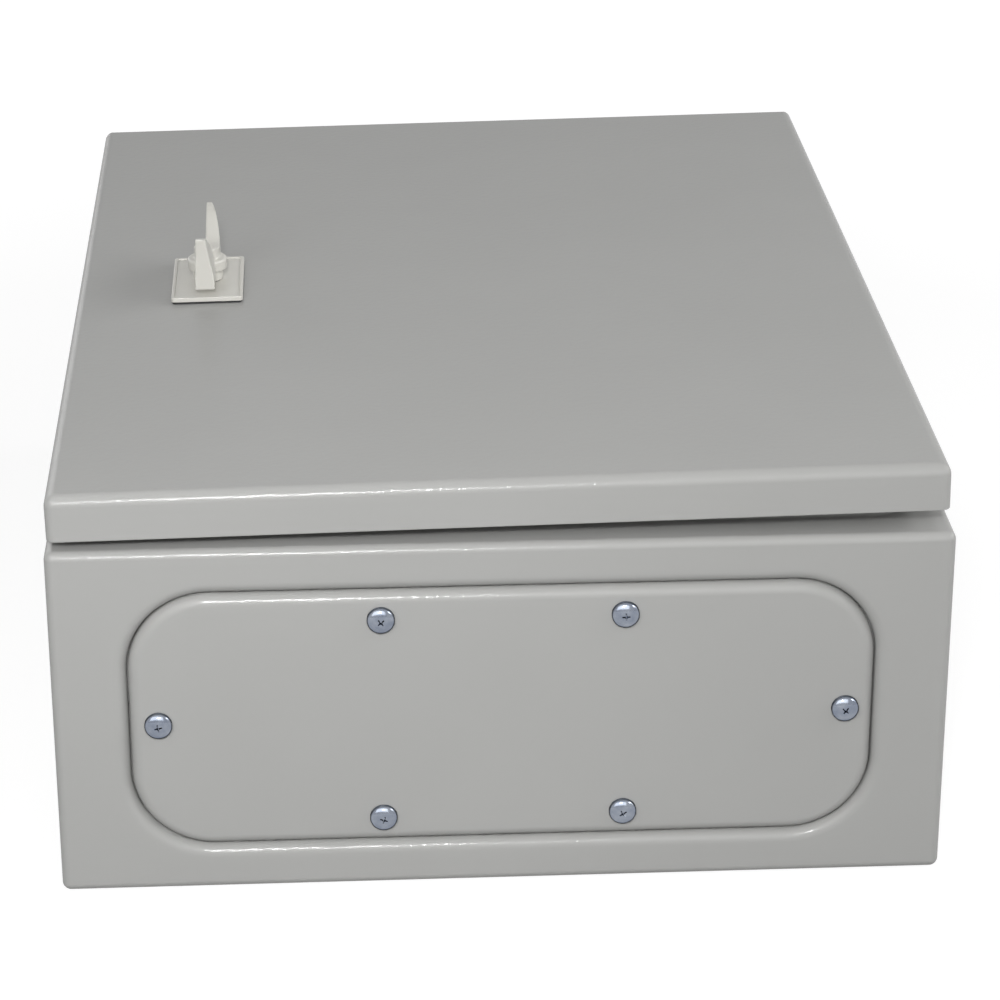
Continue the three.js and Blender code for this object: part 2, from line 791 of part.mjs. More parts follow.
// Spindle: square for the handle, round in the barrel, collar under it, square for the cam.
function lockSpindle() {
  const squareTop = socketTop - seat;
  const round = rod(spindleRadius, collarBottom, escutcheonTop);
  const collar = rod(spindleCollar, collarBottom, barrelEnd - seat);
  const length = squareTop - squareEnd;
  const square = block(spindleSquare, spindleSquare, length, 0, 0, squareEnd + length / 2);
  const thread = rod(m5.radius + boltFit, squareEnd - overcut, squareEnd + camScrewLength);
  const sized = solid(square).intersect(solid(rod(spindleRadius, squareEnd, squareTop)));
  return combine(geometryOf(sized), [round, collar], [thread]);
}

function camPlate() {
  const half = camWidth / 2;
  const hubAngle = Math.acos(half / camHub);
  const shape = new THREE.Shape();
  shape.moveTo(half, camHub * Math.sin(hubAngle));
  shape.lineTo(half, camReach - half);
  shape.absarc(0, camReach - half, half, 0, Math.PI, false);
  shape.absarc(0, 0, camHub, Math.PI - hubAngle, 2 * Math.PI + hubAngle, false);
  const side = spindleSquare / 2 + boltFit;
  shape.holes.push(new THREE.Path(roundRect(side, side, boltFit, 1)));
  return prism(shape, camBottom, camTop);
}

function camWasher() {
  const top = camBottom - seat;
  return ring(m5.radius + boltFit, spindleRadius + camWasherRim, top - camWasherHeight, top);
}

addPiece(lock, "lock_housing", lockHousing(), plastic);
addPiece(lock, "lock_seal", sealPlate(), rubber);
addPiece(lock, "lock_nut", lockNut(), zinc);
addPiece(lock, "lock_spindle", lockSpindle(), zinc);
addPiece(lock, "lock_cam", camPlate(), darkSteel);
addPiece(lock, "cam_washer", camWasher(), zinc);
const camScrew = addPiece(lock, "cam_screw", crossScrew(camScrewLength - overcut), zinc);
camScrew.position.z = camBottom - seat - camWasherHeight - seat;
camScrew.rotation.x = Math.PI;

// ---------------------------------------------------------------- wing handle

// Side view of the wings, as y and z: high tips and a dipped middle.
function wingSide() {
  const shape = new THREE.Shape();
  shape.moveTo(-wingHalfLength, wingFoot);
  shape.lineTo(wingHalfLength, wingFoot);
  shape.lineTo(wingHalfLength, wingTip);
  const { shoulder: high, fall, spread } = wingSaddle;
  shape.bezierCurveTo(high, wingTip - fall, spread, wingDip, 0, wingDip);
  shape.bezierCurveTo(-spread, wingDip, -high, wingTip - fall, -wingHalfLength, wingTip);
  shape.closePath();
  return prism(shape, -hubRadius, hubRadius).rotateX(Math.PI / 2).rotateZ(Math.PI / 2);
}

// Near wing: an upright outer face and a curved inner face that flares towards its foot.
function nearWingBlock() {
  const waistHeight = (wingFoot + wingTip) / 2;
  const shape = new THREE.Shape();
  shape.moveTo(nearWing.outer, wingFoot);
  shape.lineTo(nearWing.foot, wingFoot);
  shape.quadraticCurveTo(nearWing.foot, wingFoot + nearWing.flare, nearWing.waist, waistHeight);
  shape.lineTo(nearWing.top, wingTip);
  shape.lineTo(nearWing.outerTop, wingTip);
  shape.closePath();
  return prism(shape, 0, wingHalfLength).rotateX(Math.PI / 2);
}

// Far wing: a blade that thins towards its tip and towards its top, rounded on its outer side.
function farWingBlade() {
  const { inner, innerRoot, outer, outerRoot, flare } = farWing;
  const middle = (inner + outer) / 2;
  const plan = new THREE.Shape();
  plan.moveTo(innerRoot, 0);
  plan.lineTo(outerRoot, 0);
  plan.quadraticCurveTo(outerRoot, wingHalfLength / 2, outer, wingHalfLength);
  plan.lineTo(inner, wingHalfLength);
  plan.closePath();
  const blade = prism(plan, wingFoot, wingTip);
  const position = blade.attributes.position;
  for (let i = 0; i < position.count; i += 1) {
    if (position.getZ(i) < wingDip) {
      const side = Math.sign(position.getX(i) - middle);
      const spread = flare * (position.getY(i) / wingHalfLength);
      position.setX(i, position.getX(i) + side * spread);
    }
  }
  return blade;
}

function wingHandle() {
  const wings = solid(nearWingBlock()).add(solid(farWingBlade()));
  const core = solid(rod(coreRadius, wingFoot, wingDip, largeRoundSides));
  const lever = wings.add(core).intersect(solid(wingSide()));
  const hub = turned([
    [0, escutcheonTop + seat],
    [neckRadius, escutcheonTop + seat],
    [neckRadius, hubFoot],
    [hubRadius, hubFoot],
    [hubRadius, hubTop - hubEdge],
    [hubRadius - hubEdge, hubTop],
    [0, hubTop],
  ], largeRoundSides);
  const side = spindleSquare + 2 * boltFit;
  const socket = block(side, side, 2 * socketTop, 0, 0, 0);
  return combine(geometryOf(lever), [hub], [socket]);
}

addPiece(lock, "wing_handle", wingHandle(), plastic);

export default enclosure;
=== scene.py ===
import json
import math
from cmath import exp

import bmesh
import bpy
from mathutils import Matrix, Vector


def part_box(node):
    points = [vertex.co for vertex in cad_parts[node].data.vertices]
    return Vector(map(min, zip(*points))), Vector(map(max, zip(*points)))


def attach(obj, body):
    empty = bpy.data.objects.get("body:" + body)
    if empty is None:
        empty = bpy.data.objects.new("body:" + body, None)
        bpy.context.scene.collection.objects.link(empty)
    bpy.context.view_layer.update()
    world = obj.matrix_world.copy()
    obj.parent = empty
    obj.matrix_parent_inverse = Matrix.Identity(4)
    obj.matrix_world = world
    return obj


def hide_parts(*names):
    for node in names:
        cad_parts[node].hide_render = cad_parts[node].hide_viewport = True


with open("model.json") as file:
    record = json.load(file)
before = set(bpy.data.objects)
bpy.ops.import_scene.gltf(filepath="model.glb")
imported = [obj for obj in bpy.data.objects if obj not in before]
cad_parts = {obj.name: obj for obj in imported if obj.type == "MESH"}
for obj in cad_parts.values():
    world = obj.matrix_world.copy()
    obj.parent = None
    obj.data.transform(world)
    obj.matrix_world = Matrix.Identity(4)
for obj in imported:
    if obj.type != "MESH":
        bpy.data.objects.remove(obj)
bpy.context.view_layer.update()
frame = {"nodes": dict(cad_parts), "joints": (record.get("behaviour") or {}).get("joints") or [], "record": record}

# Steel enclosure. Shapes are built in millimetres, in the frame of the wall, door or lock that
# they belong to, and are then placed in the enclosure's frame in metres. Sizes in capitals are in
# millimetres unless a comment says otherwise.

MM = 0.001
HALF_PI = math.pi / 2
FULL_TURN = 2 * math.pi

# ---------------------------------------------------------------- frames of the parts

joints = {joint["name"]: joint for joint in frame["joints"]}
hinge_point = Vector(joints["door_hinge"]["pos_m"])
lock_point = Vector(joints["handle_turn"]["pos_m"])
door_normal = Vector(joints["handle_turn"]["axis"])
mounts = {mount["name"]: mount for mount in frame["record"]["mounts"]}

UP = Vector((0, 0, 1))
door_turn = UP.rotation_difference(door_normal).to_matrix().to_4x4()
wall_turn = Matrix.Rotation(HALF_PI, 4, "X")
body_frame = Matrix.Identity(4)
door_frame = Matrix.Translation(hinge_point) @ door_turn @ Matrix.Translation(-hinge_point)
lock_frame = Matrix.Translation(lock_point) @ door_turn
gland_frame = Matrix.Translation(mounts["gland_face"]["pos_m"]) @ wall_turn

# ---------------------------------------------------------------- sizes


def box_mm(node):
    """Lowest and highest corner of a CAD node."""
    low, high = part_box(node)
    return low / MM, high / MM


body_low, body_high = box_mm("body_shell")
WIDTH = body_high.x - body_low.x
HEIGHT = body_high.y - body_low.y
LIP_HEIGHT = 12
RIM_PLANE = body_high.z - LIP_HEIGHT
SHEET = 1.5
EDGE = 0.3  # rounding of cut sheet edges under the paint
LAP = 1  # by which a cutter passes the face that it cuts
CAP_INSET = 20  # from the edge of a pan to the flat cap that closes its floor

BODY_BEND = 1.5
BODY_CORNER = 3
LIP_CORNER = 8
LEAST_CORNER = 0.5
LEAST_LIP_CORNER = 1

DOOR_BEND = 2.5
DOOR_CORNER = 3
DOOR_FLANGE = 16
DOOR_GAP = 8
DOOR_SET_BACK_LOCK = 1
DOOR_SET_BACK_HINGE = 2.5
DOOR_SET_BACK_ENDS = 1
DOOR_TOP = RIM_PLANE + DOOR_GAP + DOOR_FLANGE

HINGE_X, HINGE_Z = hinge_point.x / MM, hinge_point.z / MM
SWING_FIT = 0.7
RIM_WIDTH = WIDTH / 2 - HINGE_X + math.hypot(
    WIDTH / 2 - DOOR_SET_BACK_HINGE - HINGE_X, HINGE_Z - RIM_PLANE - DOOR_GAP
) + SWING_FIT

GLAND_MARGIN_X, GLAND_MARGIN_Y = 25, 16
GLAND_HALF_X = WIDTH / 2 - GLAND_MARGIN_X
GLAND_HALF_Y = RIM_PLANE / 2 - GLAND_MARGIN_Y
GLAND_CORNER = 28
GLAND_FIT = 0.5
SHOULDER = 4
RECESS = 6
LEDGE = 16
LEDGE_BEND = 1
SEAT = 0.2

# Steps of a rounding, and sides of a circle.
BEND_STEPS = 8
CORNER_STEPS = 8
EDGE_STEPS = 3
GLAND_STEPS = 20
ROUND_SIDES = 48
SMALL_SIDES = 24

# Tolerances of the mesh work.
MERGE = 1e-4
MERGE_CAD = 1e-3
WELD = 1e-6  # m, joins the facets of the CAD nodes for smooth shading
BEND_FIT = 0.01
SHARP = math.radians(33)  # edges above this angle stay sharp
AREA_WEIGHT = 100  # of the weighted normals: large faces stay flat

# ---------------------------------------------------------------- camera


def linked(name, data):
    """A new object in the scene."""
    item = bpy.data.objects.new(name, data)
    bpy.context.scene.collection.objects.link(item)
    return item


SENSOR = 36
LENS = 121.085
CLIP_START, CLIP_END = 0.05, 100  # m
CAMERA_PLACE = (-0.05703, -1.20118, 0.57908)  # m
CAMERA_YAW, CAMERA_PITCH, CAMERA_ROLL = 0.05579, 0.41117, -0.00014


def add_camera():
    data = bpy.data.cameras.new("camera")
    data.sensor_width = SENSOR
    data.lens = LENS
    data.clip_start = CLIP_START
    data.clip_end = CLIP_END
    camera = linked("camera", data)
    turn = (
        Matrix.Rotation(-CAMERA_YAW, 4, "Z")
        @ Matrix.Rotation(HALF_PI - CAMERA_PITCH, 4, "X")
        @ Matrix.Rotation(CAMERA_ROLL, 4, "Z")
    )
    camera.matrix_world = Matrix.Translation(CAMERA_PLACE) @ turn
    bpy.context.scene.camera = camera


add_camera()

# ---------------------------------------------------------------- mesh helpers


def smooth_group():
    """Modifier group that shades faces smooth and keeps edges above SHARP sharp."""
    group = bpy.data.node_groups.new("smooth_by_angle", "GeometryNodeTree")
    group.interface.new_socket("Geometry", in_out="INPUT", socket_type="NodeSocketGeometry")
    group.interface.new_socket("Geometry", in_out="OUTPUT", socket_type="NodeSocketGeometry")
    nodes, link = group.nodes, group.links.new
    start, end = nodes.new("NodeGroupInput"), nodes.new("NodeGroupOutput")
    faces = nodes.new("GeometryNodeSetShadeSmooth")
    faces.domain = "FACE"
    edges = nodes.new("GeometryNodeSetShadeSmooth")
    edges.domain = "EDGE"
    edges.inputs["Shade Smooth"].default_value = False
    angle = nodes.new("GeometryNodeInputMeshEdgeAngle")
    above = nodes.new("FunctionNodeCompare")
    above.inputs[1].default_value = SHARP
    link(start.outputs[0], faces.inputs["Geometry"])
    link(faces.outputs[0], edges.inputs["Geometry"])
    link(angle.outputs["Unsigned Angle"], above.inputs[0])
    link(above.outputs[0], edges.inputs["Selection"])
    link(edges.outputs[0], end.inputs[0])
    return group


SMOOTH = smooth_group()


def shade(piece):
    piece.modifiers.new("smooth", "NODES").node_group = SMOOTH
    weighted = piece.modifiers.new("normals", "WEIGHTED_NORMAL")
    weighted.keep_sharp = True
    weighted.weight = AREA_WEIGHT


def merge_vertices(mesh, distance, outwards=False):
    """Joins vertices that coincide and, if asked, turns the faces outwards."""
    shape = bmesh.new()
    shape.from_mesh(mesh)
    bmesh.ops.remove_doubles(shape, verts=shape.verts, dist=distance)
    if outwards:
        bmesh.ops.recalc_face_normals(shape, faces=shape.faces)
    shape.to_mesh(mesh)
    shape.free()


def bake_modifiers(piece):
    """Replaces a piece's mesh by the result of its modifiers."""
    graph = bpy.context.evaluated_depsgraph_get()
    made = bpy.data.meshes.new_from_object(piece.evaluated_get(graph))
    piece.modifiers.clear()
    piece.data = made


def combine(piece, operation, *tools):
    """Joins tools to a piece (UNION) or cuts them out of it (DIFFERENCE)."""
    for tool in tools:
        modifier = piece.modifiers.new("boolean", "BOOLEAN")
        modifier.operation = operation
        modifier.solver = "EXACT"
        modifier.object = tool
        bake_modifiers(piece)
        bpy.data.objects.remove(tool)


def finish_piece(piece, place, body, slot, node):
    """Places a piece, gives it its material and body, and lets it stand for its CAD node."""
    piece.data.transform(place @ Matrix.Scale(MM, 4))
    piece.data.materials.clear()
    piece.data.materials.append(MATERIALS[slot])
    shade(piece)
    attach(piece, body)
    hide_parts(node)


def round_rect(half_x, half_y, radius, steps):
    points = []
    for corner in range(4):
        middle = exp(1j * (corner + 0.5) * HALF_PI)
        centre_x = math.copysign(half_x - radius, middle.real)
        centre_y = math.copysign(half_y - radius, middle.imag)
        for step in range(steps + 1):
            turn = radius * exp(1j * (corner + step / steps) * HALF_PI)
            points.append((centre_x + turn.real, centre_y + turn.imag))
    return points


def round_corner(before, corner, after, radius, steps):
    """Points of an arc that rounds the corner of an outline. Points are complex numbers."""
    towards = (before - corner) / abs(before - corner)
    onwards = (after - corner) / abs(after - corner)
    half = math.acos((towards * onwards.conjugate()).real) / 2
    centre = corner + (towards + onwards) / abs(towards + onwards) * radius / math.sin(half)
    start = corner + towards * radius / math.tan(half) - centre
    end = corner + onwards * radius / math.tan(half) - centre
    turn = math.atan2((end / start).imag, (end / start).real)
    return [centre + start * exp(1j * turn * step / steps) for step in range(steps + 1)]


def folded_section(path, thickness, side):
    """Section of a folded sheet from its outside path of (inset, z, inside radius)."""
    corners = [complex(point[0], point[1]) for point in path]
    headings = [(b - a) / abs(b - a) for a, b in zip(corners, corners[1:])]
    face = [corners[0]]
    back = [corners[0] - 1j * side * headings[0] * thickness]
    for point, corner, before, after in zip(path[1:], corners[1:], headings, headings[1:]):
        towards_metal = (before.conjugate() * after).imag * side < 0
        face_radius = point[2] + (thickness if towards_metal else 0)
        back_radius = point[2] + (0 if towards_metal else thickness)
        normal = -1j * side * before * (1 if towards_metal else -1)
        turn = math.acos((before * after.conjugate()).real)
        centre = corner - before * face_radius * math.tan(turn / 2) + normal * face_radius
        for step in range(BEND_STEPS + 1):
            angle = turn * step / BEND_STEPS
            radial = before * math.sin(angle) - normal * math.cos(angle)
            face.append(centre + radial * face_radius)
            back.append(centre + radial * back_radius)
    face.append(corners[-1])
    back.append(corners[-1] - 1j * side * headings[-1] * thickness)
    outer = round_corner(face[-2], face[-1], back[-1], EDGE, EDGE_STEPS)
    inner = round_corner(face[-1], back[-1], back[-2], EDGE, EDGE_STEPS)
    return face[:-1] + outer + inner + back[-2::-1]


def loft(name, rings, closed=False):
    """Skin through rings of points, closed by flat caps or on itself."""
    count = len(rings[0])
    vertices = [point for ring in rings for point in ring]
    faces = []
    for ring in range(len(rings) if closed else len(rings) - 1):
        low, high = ring * count, (ring + 1) % len(rings) * count
        for i in range(count):
            following = (i + 1) % count
            faces.append((low + i, low + following, high + following, high + i))
    if not closed:
        faces.append(tuple(range(count)))
        faces.append(tuple(range((len(rings) - 1) * count, len(rings) * count)))
    mesh = bpy.data.meshes.new(name)
    mesh.from_pydata(vertices, [], faces)
    merge_vertices(mesh, MERGE, outwards=True)
    return linked(name, mesh)


def sweep_round(name, section, half_x, half_y, radius, steps, closed=False):
    """Sweeps a section round a rectangle. A closed section gives a frame, an open one a pan."""
    rings = []
    for point in section:
        inset = point.real
        outline = round_rect(half_x - inset, half_y - inset, radius(inset), steps)
        rings.append([(x, y, point.imag) for x, y in outline])
    return loft(name, rings, closed)


def circle(radius, z, sides, x=0, y=0):
    angles = [i * FULL_TURN / sides for i in range(sides)]
    return [(x + radius * math.cos(angle), y + radius * math.sin(angle), z) for angle in angles]


def rod(name, radius, bottom, top, x=0, y=0, sides=ROUND_SIDES):
    return loft(name, [circle(radius, bottom, sides, x, y), circle(radius, top, sides, x, y)])


def block(name, low, high):
    rings = [
        [(low[0], low[1], z), (high[0], low[1], z), (high[0], high[1], z), (low[0], high[1], z)]
        for z in (low[2], high[2])
    ]
    return loft(name, rings)


def prism(name, outline, bottom, top):
    return loft(name, [[(x, y, z) for x, y in outline] for z in (bottom, top)])


RINGS_PER_TURN = 6


def threaded(name, radius, bottom, top, pitch, depth, sides):
    """Rod with a true helical thread, run out at both ends."""
    count = int((top - bottom) / pitch * RINGS_PER_TURN)
    rings = []
    for ring in range(count + 1):
        z = bottom + (top - bottom) * ring / count
        end = min((z - bottom), (top - z)) / pitch
        taper = depth * max(0.0, 1 - end)
        points = []
        for i in range(sides):
            angle = i * FULL_TURN / sides
            phase = (z / pitch - angle / FULL_TURN) % 1
            groove = depth * (1 - abs(2 * phase - 1))
            reach = radius - max(groove, taper)
            points.append((reach * math.cos(angle), reach * math.sin(angle), z))
        rings.append(points)
    return loft(name, rings)


# ---------------------------------------------------------------- materials


def map_range(nodes, link, value, low, high, start=0.0, stop=1.0):
    """Maps a value from the range start to stop to the range low to high."""
    node = nodes.new("ShaderNodeMapRange")
    link(value, node.inputs["Value"])
    node.inputs["From Min"].default_value = start
    node.inputs["From Max"].default_value = stop
    node.inputs["To Min"].default_value = low
    node.inputs["To Max"].default_value = high
    return node.outputs["Result"]


class Shader:
    """A Principled material that is built up from procedural nodes."""

    def __init__(self, name, metallic=0.0, specular=0.5, roughness=0.5):
        self.material = bpy.data.materials.new(name)
        self.material.use_nodes = True
        self.nodes = self.material.node_tree.nodes
        self.link = self.material.node_tree.links.new
        self.surface = self.nodes["Principled BSDF"]
        self.surface.inputs["Roughness"].default_value = roughness
        self.surface.inputs["Metallic"].default_value = metallic
        self.surface.inputs["Specular IOR Level"].default_value = specular
        self.place = self.nodes.new("ShaderNodeTexCoord").outputs["Object"]

    def noise(self, size_mm, detail=2.0, stretch=None):
        texture = self.nodes.new("ShaderNodeTexNoise")
        texture.inputs["Scale"].default_value = 1 / (size_mm * MM)
        texture.inputs["Detail"].default_value = detail
        self.link(self.stretched(stretch), texture.inputs["Vector"])
        return texture.outputs["Fac"]

    def stretched(self, stretch):
        if stretch is None:
            return self.place
        mapping = self.nodes.new("ShaderNodeMapping")
        mapping.inputs["Scale"].default_value = stretch
        self.link(self.place, mapping.inputs["Vector"])
        return mapping.outputs["Vector"]

    def cells(self, size_mm, output):
        texture = self.nodes.new("ShaderNodeTexVoronoi")
        texture.inputs["Scale"].default_value = 1 / (size_mm * MM)
        self.link(self.place, texture.inputs["Vector"])
        return texture.outputs[output]

    def spread(self, value, low, high, start=0.3, stop=0.7):
        """Maps a texture's usual values to a range."""
        return map_range(self.nodes, self.link, value, low, high, start, stop)

    def blend(self, value, low, high, start=0.3, stop=0.7):
        """Maps a texture's usual values to a blend of two colours."""
        mix = self.nodes.new("ShaderNodeMix")
        mix.data_type = "RGBA"
        self.link(self.spread(value, 0.0, 1.0, start, stop), mix.inputs["Factor"])
        mix.inputs["A"].default_value = (*low, 1)
        mix.inputs["B"].default_value = (*high, 1)
        return mix.outputs["Result"]

    def color(self, output):
        self.link(output, self.surface.inputs["Base Color"])

    def roughness(self, output):
        self.link(output, self.surface.inputs["Roughness"])

    def relief(self, height, depth_mm, socket):
        node = self.nodes.new("ShaderNodeBump")
        node.inputs["Distance"].default_value = depth_mm * MM
        self.link(height, node.inputs["Height"])
        self.link(node.outputs["Normal"], self.surface.inputs[socket])

    def bump(self, height, depth_mm):
        self.relief(height, depth_mm, "Normal")

    def coat(self, weight, roughness, height, depth_mm):
        """Clear skin over the colour, with a relief of its own."""
        self.surface.inputs["Coat Weight"].default_value = weight
        self.surface.inputs["Coat Roughness"].default_value = roughness
        self.relief(height, depth_mm, "Coat Normal")


def powder_coat():
    """Light grey powder coat: clouds in colour and gloss under a glossy skin of fine peel."""
    dark, light = (0.395, 0.395, 0.385), (0.405, 0.405, 0.395)
    shader = Shader("grey_paint", specular=0.0)
    shader.color(shader.blend(shader.noise(size_mm=60, detail=3), dark, light))
    shader.roughness(shader.spread(shader.noise(size_mm=9), low=0.35, high=0.41))
    shader.coat(weight=0.45, roughness=0.17, height=shader.noise(size_mm=2.2), depth_mm=0.19)
    return shader.material


def bright_zinc():
    """Blue zinc plate with painted shade: its tone is kept darker than zinc to dim the surroundings it reflects,
    and a near-black edge tint paints a dark rim where it is seen at a flat angle.
    """
    # mottled zinc tones, kept darker than zinc as a painted shade that dims the reflected surroundings
    dark, light = (0.21, 0.235, 0.29), (0.29, 0.315, 0.36)
    # painted shade: a near-black edge tint that darkens the head's rim at flat angles
    painted_dark_rim_tint = (0.0, 0.0, 0.01, 1)
    shader = Shader("bright_zinc", metallic=1.0)
    shader.color(shader.blend(shader.noise(size_mm=3, detail=3), dark, light))
    shader.surface.inputs["Specular Tint"].default_value = painted_dark_rim_tint
    shader.roughness(shader.spread(shader.noise(size_mm=1.2), low=0.10, high=0.20))
    shader.bump(shader.noise(size_mm=0.8), depth_mm=0.012)
    return shader.material


def galvanised():
    """Zinc with a soft spangle: crystals that differ a little in tone and gloss."""
    dark, light = (0.50, 0.52, 0.53), (0.64, 0.66, 0.67)
    shader = Shader("galvanised", metallic=1.0)
    crystal = shader.cells(size_mm=7, output="Color")
    tone = shader.nodes.new("ShaderNodeSeparateColor")
    shader.link(crystal, tone.inputs["Color"])
    shader.color(shader.blend(tone.outputs["Red"], dark, light, start=0, stop=1))
    shader.roughness(shader.spread(tone.outputs["Green"], low=0.30, high=0.46, start=0, stop=1))
    shader.bump(shader.noise(size_mm=0.8), depth_mm=0.01)
    return shader.material


def dark_steel():
    """Bare steel with a drawn grain."""
    dark, light = (0.34, 0.35, 0.36), (0.44, 0.45, 0.46)
    shader = Shader("dark_steel", metallic=1.0)
    grain = shader.noise(size_mm=1.0, detail=3, stretch=(6, 0.4, 1))
    shader.color(shader.blend(grain, dark, light))
    shader.roughness(shader.spread(grain, low=0.28, high=0.42))
    return shader.material


def pale_plastic():
    """Moulded plastic, warm light grey, with a fine spark-eroded skin."""
    dark, light = (0.600, 0.590, 0.548), (0.622, 0.612, 0.570)
    shader = Shader("pale_plastic")
    shader.color(shader.blend(shader.noise(size_mm=12), dark, light))
    shader.roughness(shader.spread(shader.noise(size_mm=0.6), low=0.34, high=0.46))
    shader.bump(shader.noise(size_mm=0.35), depth_mm=0.008)
    return shader.material


def black_rubber():
    dark, light = (0.018, 0.018, 0.019), (0.028, 0.028, 0.029)
    shader = Shader("black_rubber", roughness=0.7)
    shader.color(shader.blend(shader.noise(size_mm=4), dark, light))
    shader.bump(shader.noise(size_mm=0.4), depth_mm=0.02)
    return shader.material


def foam_strip():
    dark, light = (0.030, 0.030, 0.031), (0.060, 0.060, 0.061)
    shader = Shader("foam_strip", roughness=0.9)
    pores = shader.cells(size_mm=0.9, output="Distance")
    shader.color(shader.blend(pores, dark, light, start=0, stop=0.8))
    shader.bump(pores, depth_mm=0.3)
    return shader.material


MATERIALS = {
    "grey_paint": powder_coat(),
    "bright_zinc": bright_zinc(),
    "galvanised": galvanised(),
    "dark_steel": dark_steel(),
    "pale_plastic": pale_plastic(),
    "black_rubber": black_rubber(),
    "foam_strip": foam_strip(),
}

for part in frame["record"]["subparts"]:
    cad_node = frame["nodes"][part["node"]]
    cad_node.data.materials.clear()
    cad_node.data.materials.append(MATERIALS[part["material_slot"]])
    cad_node.modifiers.new("weld", "WELD").merge_threshold = WELD
    shade(cad_node)

# ---------------------------------------------------------------- body shell and gland plate

WALL_HOLE_INSET = 20
WALL_HOLE_RADIUS = 4.25
SCREW_HOLE = 2.8  # radius
SCREW_COUNT = 6
gland_screws = [f"gland_screw_{i + 1}" for i in range(SCREW_COUNT)]


def gland_place(node):
    """Middle of a node on the gland face, in the frame of that face."""
    low, high = box_mm(node)
    centre = (low + high) / 2
    return centre.x, centre.z - RIM_PLANE / 2


def screw_holes(bottom, top):
    """Cutters for the gland screws' holes, in the frame of the gland face."""
    return [
        rod("hole", SCREW_HOLE, bottom, top, *gland_place(node), SMALL_SIDES)
        for node in gland_screws
    ]


def wall_holes():
    reach_x = WIDTH / 2 - WALL_HOLE_INSET
    reach_y = HEIGHT / 2 - WALL_HOLE_INSET
    return [
        rod("hole", WALL_HOLE_RADIUS, -LAP, SHEET + LAP, x, y)
        for x in (-reach_x, reach_x)
        for y in (-reach_y, reach_y)
    ]


def shell_corner(inset):
    """Radius of the body's corners on the outer walls, and on the lip inside them."""
    if inset < BODY_BEND + SHEET + BEND_FIT:
        return max(BODY_CORNER - inset, LEAST_CORNER)
    return max(LIP_CORNER + RIM_WIDTH - inset, LEAST_LIP_CORNER)


def gland_opening():
    outline = round_rect(
        GLAND_HALF_X + SHOULDER, GLAND_HALF_Y + SHOULDER, GLAND_CORNER + SHOULDER, GLAND_STEPS
    )
    return prism("opening", outline, -SHEET - LAP, LAP)


def gland_recess():
    """Pressed edge of the opening: a soft shoulder that drops to the ledge."""
    path = [
        (-SHOULDER - LAP, 0),
        (0, 0, SHOULDER - SHEET),
        (0, -RECESS, LEDGE_BEND),
        (LEDGE, -RECESS),
    ]
    return sweep_round(
        "recess",
        folded_section(path, SHEET, 1),
        GLAND_HALF_X,
        GLAND_HALF_Y,
        lambda inset: GLAND_CORNER - inset,
        GLAND_STEPS,
        closed=True,
    )


def body_shell():
    path = [
        (CAP_INSET, 0),
        (0, 0, BODY_BEND),
        (0, RIM_PLANE, BODY_BEND),
        (RIM_WIDTH, RIM_PLANE, BODY_BEND),
        (RIM_WIDTH, RIM_PLANE + LIP_HEIGHT),
    ]
    section = folded_section(path, SHEET, 1)
    shell = sweep_round(
        "body_shell_fine", section, WIDTH / 2, HEIGHT / 2, shell_corner, CORNER_STEPS
    )
    opening = gland_opening()
    recess = gland_recess()
    holes = screw_holes(-RECESS - SHEET - LAP, -RECESS + LAP)
    to_wall = Matrix.Translation((0, -HEIGHT / 2, RIM_PLANE / 2)) @ wall_turn
    for tool in (opening, recess, *holes):
        tool.data.transform(to_wall)
    combine(shell, "DIFFERENCE", opening)
    combine(shell, "UNION", recess)
    combine(shell, "DIFFERENCE", *wall_holes(), *holes)
    finish_piece(shell, body_frame, "enclosure", "grey_paint", "body_shell")


def gland_plate():
    path = [
        (CAP_INSET, 0),
        (GLAND_FIT, 0, SHOULDER - SHEET),
        (GLAND_FIT, -RECESS + 2 * SEAT),
    ]
    plate = sweep_round(
        "gland_plate_fine",
        folded_section(path, SHEET, -1),
        GLAND_HALF_X,
        GLAND_HALF_Y,
        lambda inset: GLAND_CORNER - inset,
        GLAND_STEPS,
    )
    combine(plate, "DIFFERENCE", *screw_holes(-SHEET - LAP, LAP))
    finish_piece(plate, gland_frame, "enclosure", "grey_paint", "gland_plate")


body_shell()
gland_plate()

# ---------------------------------------------------------------- gland screws

HEAD_RADIUS = 4.65
HEAD_HEIGHT = 2.9
HEAD_CHAMFER = 0.15
HEAD_EDGE = 0.85  # height of the upright side
HEAD_ROUND = 0.95  # power: below 1 the head is fuller than an ellipse
HEAD_CROWN = 0.02  # radius of the flat that closes the top
HEAD_SINK = 0.06  # into the coat of the plate
HEAD_STEPS = 12

CROSS_TOP = HEAD_HEIGHT + 0.3
WING_FLOOR = HEAD_HEIGHT - 0.8
WING_AT_FLOOR, WING_AT_TOP = (0.7, 0.12), (1.7, 0.3)  # half length and half width
CORE_FLOOR = HEAD_HEIGHT - 0.9
CORE_AT_FLOOR, CORE_AT_TOP = 0.3, 0.7  # radius
CORE_SIDES = 16

SHANK_RADIUS = 2.5
SHANK_LAP = 0.5  # of the thread into the head
SCREW_LENGTH = 13
THREAD_FIT = 0.05
THREAD_PITCH = 0.8
THREAD_DEPTH = 0.35

SCREW_TURNS = (0.2, 0.9, 1.25, 0.55, 0.05, 0.7)  # rad


def head_profile():
    """Pan head from its underside to its crown: steep round sides under a flatter top."""
    points = [(HEAD_RADIUS - HEAD_CHAMFER, 0), (HEAD_RADIUS, HEAD_CHAMFER)]
    for step in range(HEAD_STEPS + 1):
        angle = step / HEAD_STEPS * HALF_PI
        reach = HEAD_RADIUS * math.cos(angle) ** HEAD_ROUND if step < HEAD_STEPS else HEAD_CROWN
        height = HEAD_EDGE + (HEAD_HEIGHT - HEAD_EDGE) * math.sin(angle) ** HEAD_ROUND
        points.append((reach, height))
    return points


